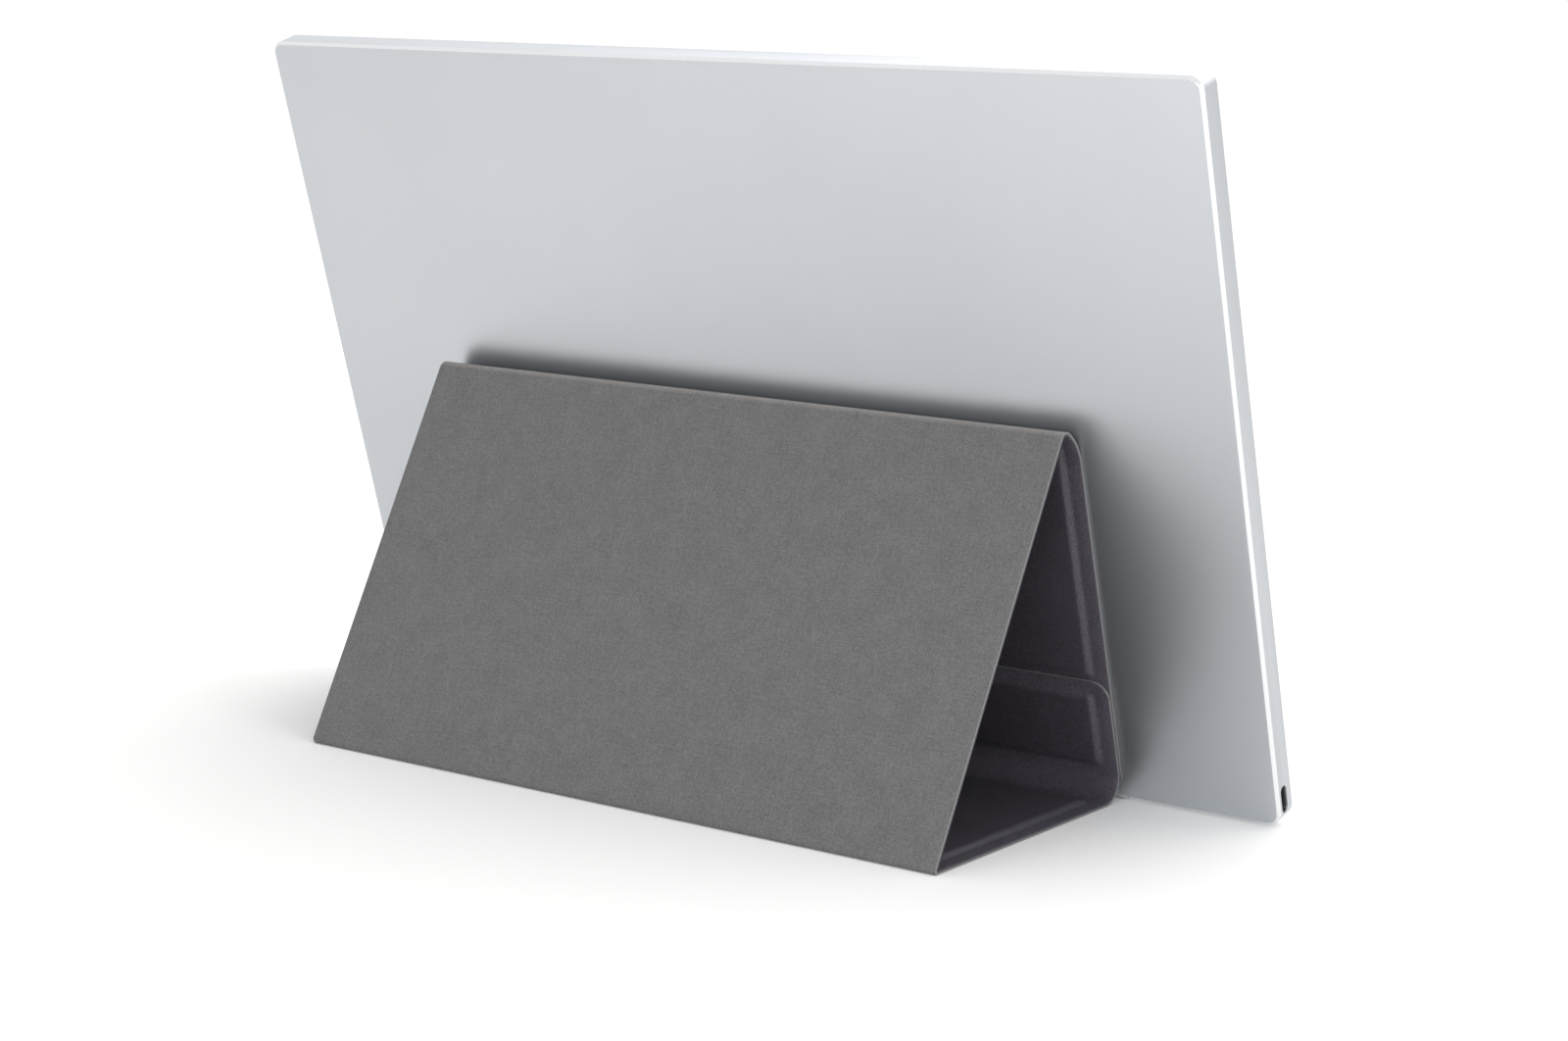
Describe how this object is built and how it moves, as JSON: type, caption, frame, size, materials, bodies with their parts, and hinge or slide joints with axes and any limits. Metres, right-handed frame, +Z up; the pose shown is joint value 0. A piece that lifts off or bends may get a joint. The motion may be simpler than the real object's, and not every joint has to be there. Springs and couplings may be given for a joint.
{
  "type": "portable monitor with folding cover",
  "caption": "Thin leaning flat-panel display in a metal shell, held up by a magnetic cover folded into a triangular stand.",
  "frame": {"origin": "on the table under the middle of the whole object, with the monitor leaning back on its folded cover", "axes": "+Z up, +X along the monitor's width to the right for someone who faces the screen, +Y from the screen side to the back, where the cover stands"},
  "size_m": [0.36, 0.1182, 0.2326],
  "materials": {
    "housing_metal": "bead-blasted silver with a polished chamfer",
    "bezel_black": "fine matte",
    "tape_black": "foam tape",
    "screen_glass": "anti-glare, dark when off",
    "diffuser_white": "translucent film",
    "guide_clear": "clear acrylic with printed dots",
    "reflector_white": "pearl white film",
    "frame_white": "moulded white",
    "tray_steel": "thin pressed sheet",
    "lamp_yellow": "phosphor lamps on a white strip",
    "board_green": "solder mask with copper tracks",
    "chip_black": "moulded epoxy",
    "flex_amber": "polyimide film with copper lines",
    "can_tin": "tinned sheet",
    "screw_steel": "plated",
    "socket_steel": "drawn and plated",
    "tongue_black": "moulded, with plated contacts",
    "insulator_black": "matte film",
    "magnet_nickel": "nickel plated",
    "foot_silicone": "translucent grey silicone",
    "weave_grey": "fine grey weave",
    "lining_leather": "dark grained lining",
    "stiffener_board": "pressed fibre board"
  },
  "bodies": {
    "monitor": {"rear_housing": "housing_metal", "front_bezel": "bezel_black", "bezel_tape": "tape_black", "lcd_glass": "screen_glass", "diffuser_films": "diffuser_white", "light_guide": "guide_clear", "reflector_sheet": "reflector_white", "panel_frame": "frame_white", "panel_tray": "tray_steel", "lighting_strip": "lamp_yellow", "driver_board": "board_green", "driver_flexes": "flex_amber", "main_board": "board_green", "main_board_chips": "chip_black", "shield_can": "can_tin", "side_board": "board_green", "tact_switches": "chip_black", "display_cable": "flex_amber", "side_cable": "flex_amber", "board_screws": "screw_steel", "usb_shell_left": "socket_steel", "usb_tongue_left": "tongue_black", "usb_shell_right": "socket_steel", "usb_tongue_right": "tongue_black", "insulating_sheet": "insulator_black", "housing_magnets": "magnet_nickel", "foot_strip": "foot_silicone"},
    "attach": {"attach_skin": "weave_grey", "attach_board": "stiffener_board", "attach_lining": "lining_leather", "attach_magnets": "magnet_nickel", "lift_bend_skin": "weave_grey", "lift_bend_lining": "lining_leather", "apex_fold_skin": "weave_grey", "apex_fold_lining": "lining_leather"},
    "strut": {"strut_skin": "weave_grey", "strut_board": "stiffener_board", "strut_lining": "lining_leather", "base_fold_skin": "weave_grey", "base_fold_lining": "lining_leather"},
    "base": {"base_skin": "weave_grey", "base_board": "stiffener_board", "base_lining": "lining_leather", "spine_fold_skin": "weave_grey", "spine_fold_lining": "lining_leather"},
    "flap": {"flap_skin": "weave_grey", "flap_board": "stiffener_board", "flap_lining": "lining_leather", "flap_magnets": "magnet_nickel"},
    "brightness_up": {"brightness_up_button": "housing_metal"},
    "brightness_down": {"brightness_down_button": "housing_metal"}
  },
  "joints": [
    {"name": "cover_detach", "type": "slide", "parent": "monitor", "child": "attach", "axis": [0, 1, 0], "range_m": [0, 0.06]},
    {"name": "apex_fold", "type": "hinge", "parent": "attach", "child": "strut", "pos_m": [-0.00075, -0.00969, 0.12378], "axis": [1, 0, 0], "range_deg": [0, 130], "deforming": ["lift_bend_skin", "lift_bend_lining", "apex_fold_skin", "apex_fold_lining"]},
    {"name": "base_fold", "type": "hinge", "parent": "strut", "child": "base", "pos_m": [-0.00075, 0.05912, 0.00057], "axis": [1, 0, 0], "range_deg": [0, 113.7], "deforming": ["base_fold_skin", "base_fold_lining"]},
    {"name": "spine_fold", "type": "hinge", "parent": "base", "child": "flap", "pos_m": [-0.00075, -0.04632, 0.00247], "axis": [1, 0, 0], "range_deg": [0, 103.1], "deforming": ["spine_fold_skin", "spine_fold_lining"]},
    {"name": "brightness_up_press", "type": "slide", "parent": "monitor", "child": "brightness_up", "axis": [-1, 0, 0], "range_m": [0, 0.0003], "stiffness_N_per_m": 1500, "springref_m": -0.0002},
    {"name": "brightness_down_press", "type": "slide", "parent": "monitor", "child": "brightness_down", "axis": [-1, 0, 0], "range_m": [0, 0.0003], "stiffness_N_per_m": 1500, "springref_m": -0.0002}
  ],
  "couplings": [
    {"joint": "base_fold", "follows": "apex_fold", "ratio": 0.87434},
    {"joint": "spine_fold", "follows": "apex_fold", "ratio": 0.7927}
  ]
}
